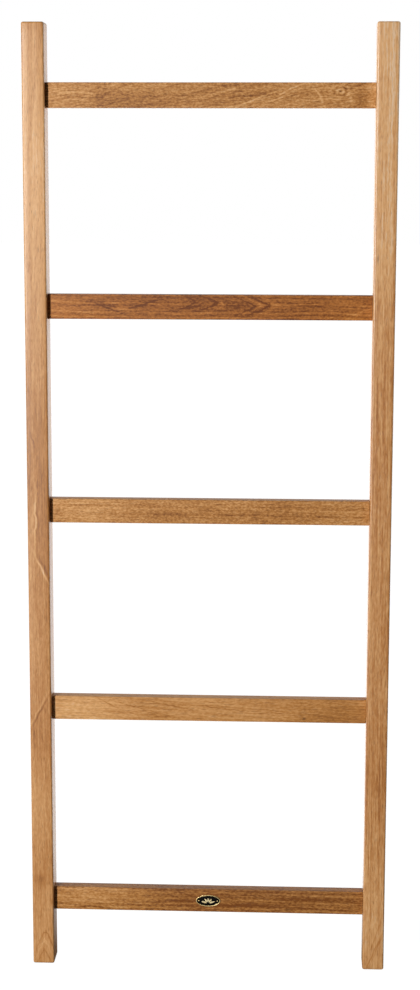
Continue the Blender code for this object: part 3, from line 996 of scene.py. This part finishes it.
def add_leaf(mesh_code, foot, along, length, back_y, front_y):
    """One small raised leaf with a keeled middle, from its foot along a direction."""
    across = Vector((-along.y, along.x))
    left, right, spine = [], [], []
    for step in range(1, LEAF_STEPS):
        share = step / LEAF_STEPS
        half = LEAF_WIDTH / 2 * math.sin(math.pi * share ** LEAF_FULLNESS)
        middle = foot + along * length * share
        left.append(middle + across * half)
        right.append(middle - across * half)
        spine.append(middle)
    tip = foot + along * length
    outline = [foot] + left + [tip] + list(reversed(right))
    edge_y = back_y + (front_y - back_y) * LEAF_EDGE_SHARE
    back = [mesh_code.verts.new((p.x, back_y, p.y)) for p in outline]
    edge = [mesh_code.verts.new((p.x, edge_y, p.y)) for p in outline]
    keel = [mesh_code.verts.new((p.x, front_y, p.y)) for p in spine]
    mesh_code.faces.new(back)
    for index in range(len(outline)):
        after = (index + 1) % len(outline)
        mesh_code.faces.new((back[index], back[after], edge[after], edge[index]))
    ridge = [edge[0]] + keel + [edge[LEAF_STEPS]]
    left_edge = edge[:LEAF_STEPS + 1]
    right_edge = [edge[0]] + list(reversed(edge[LEAF_STEPS:]))
    for rim in (left_edge, right_edge):
        for index in range(LEAF_STEPS):
            corners = [rim[index], rim[index + 1], ridge[index + 1], ridge[index]]
            unique = [v for place, v in enumerate(corners) if v not in corners[:place]]
            mesh_code.faces.new(unique)


def make_plate(brass):
    """The oval brass tray with its raised rim."""
    low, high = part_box("badge_plate")
    centre = ((low[0] + high[0]) / 2, (low[2] + high[2]) / 2)
    half_length = (high[0] - low[0]) / 2
    half_height = (high[2] - low[2]) / 2
    profile = [(high[1], half_length - PLATE_BACK_EASE, half_height - PLATE_BACK_EASE)]
    for step in range(RIM_STEPS + 1):
        angle = math.pi * step / RIM_STEPS
        bead = PLATE_RIM / 2
        inset = bead - bead * math.cos(angle)
        y = low[1] + bead * RIM_FLATNESS * (1 - math.sin(angle))
        profile.append((y, half_length - inset, half_height - inset))
    tray_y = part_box("badge_enamel")[1][1] + JOINT_GAP
    profile.append((tray_y, half_length - PLATE_RIM, half_height - PLATE_RIM))
    mesh_code = oval_loft(centre, profile, PLATE_SIDES)
    plate = mesh_piece("maker_plate", mesh_code, brass, ("badge_plate",))
    carve(plate, pin_holes())


def make_enamel():
    """The black enamel that fills the tray, with a rounded edge."""
    plate_low, plate_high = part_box("badge_plate")
    low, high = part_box("badge_enamel")
    centre = ((plate_low[0] + plate_high[0]) / 2, (plate_low[2] + plate_high[2]) / 2)
    half_length = (plate_high[0] - plate_low[0]) / 2 - PLATE_RIM - JOINT_GAP
    half_height = (plate_high[2] - plate_low[2]) / 2 - PLATE_RIM - JOINT_GAP
    profile = [(high[1], half_length, half_height)]
    for back, inset in ENAMEL_EDGE:
        profile.append((low[1] + back, half_length - inset, half_height - inset))
    mesh_code = oval_loft(centre, profile, PLATE_SIDES)
    enamel = mesh_piece("enamel_field", mesh_code, enamel_material(), ("badge_enamel",))
    carve(enamel, pin_holes())


def make_sprig():
    """A plain raised sprig of leaves, standing on the enamel."""
    brass = brass_material("motif_brass", MOTIF_ROUGHNESS, MOTIF_LIGHT, MOTIF_DARK)
    low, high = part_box("badge_plate")
    enamel_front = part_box("badge_enamel")[0][1]
    root = Vector(((low[0] + high[0]) / 2, (low[2] + high[2]) / 2 - SPRIG_DROP))
    back_y = enamel_front - LEAF_CLEARANCE
    front_y = enamel_front - LEAF_HEIGHT
    mesh_code = bmesh.new()
    for turn, reach in SPRIG_LEAVES:
        along = Vector((math.cos(math.radians(turn)), math.sin(math.radians(turn))))
        add_leaf(mesh_code, root + along * LEAF_GAP, along, reach - LEAF_GAP, back_y, front_y)
    mesh_piece("plate_sprig", mesh_code, brass, ())


def make_pin(word, brass):
    """A small brass pin with a domed head."""
    low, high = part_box(f"badge_pin_{word}")
    centre_x = (low[0] + high[0]) / 2
    plate_low, plate_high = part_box("badge_plate")
    centre_z = (plate_low[2] + plate_high[2]) / 2
    head_radius = (high[0] - low[0]) / 2
    seat_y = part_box("badge_enamel")[0][1] - JOINT_GAP
    stations = [
        (high[1], PIN_TIP_RADIUS),
        (high[1] - PIN_TAPER, PIN_SHANK_RADIUS),
        (seat_y, PIN_SHANK_RADIUS),
    ]
    for step in range(DOME_STEPS):
        angle = math.radians(90 * step / DOME_STEPS)
        rise = (seat_y - low[1]) * math.sin(angle)
        stations.append((seat_y - rise, head_radius * math.cos(angle)))
    sections = []
    for y, radius in stations:
        sections.append([Vector((centre_x + p.x, y, centre_z + p.y)) for p in circle(radius, PIN_SIDES)])
    mesh_code = bmesh.new()
    add_loft(mesh_code, sections)
    mesh_piece(f"plate_pin_{word}", mesh_code, brass, (f"badge_pin_{word}",))


def make_badge():
    """The maker's plate: brass tray, black enamel, a plain leaf sprig and two pins."""
    brass = brass_material("plate_brass", BRASS_ROUGHNESS, BRASS_LIGHT, BRASS_DARK)
    make_plate(brass)
    make_enamel()
    make_sprig()
    for word, _ in SIDES:
        make_pin(word, brass)


# ---------------------------------------------------------------- studio

def make_floor():
    """A wide pale floor."""
    mesh_code = bmesh.new()
    bmesh.ops.create_grid(
        mesh_code, x_segments=FLOOR_SEGMENTS, y_segments=FLOOR_SEGMENTS, size=FLOOR_SIZE)
    mesh = bpy.data.meshes.new("floor")
    mesh_code.to_mesh(mesh)
    mesh_code.free()
    floor = bpy.data.objects.new("floor", mesh)
    bpy.context.scene.collection.objects.link(floor)
    nodes = Nodes("floor_white")
    lit = nodes.remap(nodes.axes()[1], FLOOR_LIT_FROM, FLOOR_LIT_TO, 0.0, BACK_GLOW)
    seen = nodes.add("ShaderNodeLightPath").outputs["Is Camera Ray"]
    glow = nodes.math("MULTIPLY", seen, FLOOR_GLOW)
    unseen = nodes.math("SUBTRACT", 1.0, seen)
    glow = nodes.math("ADD", glow, nodes.math("MULTIPLY", unseen, lit))
    nodes.set_shader(Base_Color=(FLOOR_TONE, FLOOR_TONE, FLOOR_TONE, 1.0), Roughness=FLOOR_ROUGHNESS)
    nodes.set_shader(Emission_Color=(1.0, 1.0, 1.0, 1.0), Emission_Strength=glow)
    floor.data.materials.append(nodes.material)


def make_world():
    """White surroundings to look at; behind the ladder they also light it, in front hardly."""
    world = bpy.data.worlds.new("studio")
    world.use_nodes = True
    bpy.context.scene.world = world
    tree = world.node_tree
    tree.nodes.clear()
    out = tree.nodes.new("ShaderNodeOutputWorld")
    background = tree.nodes.new("ShaderNodeBackground")
    coordinates = tree.nodes.new("ShaderNodeTexCoord")
    split = tree.nodes.new("ShaderNodeSeparateXYZ")
    height = tree.nodes.new("ShaderNodeMapRange")
    spread = tree.nodes.new("ShaderNodeMapRange")
    path = tree.nodes.new("ShaderNodeLightPath")
    pick = tree.nodes.new("ShaderNodeMix")
    height.inputs["From Min"].default_value = HORIZON_FROM
    height.inputs["From Max"].default_value = HORIZON_TO
    height.inputs["To Min"].default_value = BACK_GLOW
    height.inputs["To Max"].default_value = SKY_GLOW
    spread.inputs["From Min"].default_value = 0.0
    spread.inputs["From Max"].default_value = FRONT_TO
    spread.inputs["To Min"].default_value = FRONT_GLOW
    tree.links.new(coordinates.outputs["Generated"], split.inputs[0])
    tree.links.new(split.outputs["Z"], height.inputs["Value"])
    tree.links.new(height.outputs[0], spread.inputs["To Max"])
    tree.links.new(split.outputs["Y"], spread.inputs["Value"])
    tree.links.new(path.outputs["Is Camera Ray"], pick.inputs["Factor"])
    tree.links.new(spread.outputs[0], pick.inputs["A"])
    pick.inputs["B"].default_value = 1.0
    tree.links.new(pick.outputs["Result"], background.inputs["Strength"])
    background.inputs["Color"].default_value = (1.0, 1.0, 1.0, 1.0)
    tree.links.new(background.outputs[0], out.inputs[0])


def make_key_light():
    """One tall softbox, in front and to the left."""
    light = bpy.data.lights.new("key", "AREA")
    light.shape = "RECTANGLE"
    light.size = KEY_WIDTH
    light.size_y = KEY_HEIGHT
    light.energy = KEY_POWER
    key = bpy.data.objects.new("key", light)
    key.location = KEY_PLACE
    key.rotation_euler = (KEY_AIM - KEY_PLACE).to_track_quat("-Z", "Y").to_euler()
    bpy.context.scene.collection.objects.link(key)


def make_camera():
    """The camera at the photograph's viewing angle."""
    data = bpy.data.cameras.new("camera")
    data.lens = CAMERA_LENS
    camera = bpy.data.objects.new("camera", data)
    turn = Matrix.Rotation(CAMERA_YAW, 4, "Z")
    tilt = Matrix.Rotation(math.pi / 2 - CAMERA_PITCH, 4, "X")
    roll = Matrix.Rotation(CAMERA_ROLL, 4, "Z")
    camera.matrix_world = Matrix.Translation(CAMERA_PLACE) @ turn @ tilt @ roll
    bpy.context.scene.collection.objects.link(camera)
    bpy.context.scene.camera = camera


# ---------------------------------------------------------------- build

stiles = stile_woods()
rungs = rung_woods()
for word, side in SIDES:
    make_stile(word, side, teak(f"teak_stile_{word}", stiles[word]))
for number in RUNGS:
    make_rung(number, teak(f"teak_rung_{number}", rungs[number]))
steel = steel_material()
for word, side in SIDES:
    plug_wood = dict(stiles[word])
    plug_wood.update(seed=stiles[word]["seed"] + PLUG_SEED_STEP, tone=PLUG_TONE)
    plug_wood.update(strokes=(), vees=(), knots=())
    plug_teak = teak(f"teak_plug_{word}", plug_wood)
    for number in RUNGS:
        make_plug(word, side, number, plug_teak)
        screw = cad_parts[f"screw_{word}_{number}"]
        screw.data.materials.clear()
        screw.data.materials.append(steel)
make_badge()
make_floor()
make_world()
make_key_light()
make_camera()
bpy.context.scene.view_settings.view_transform = "Standard"
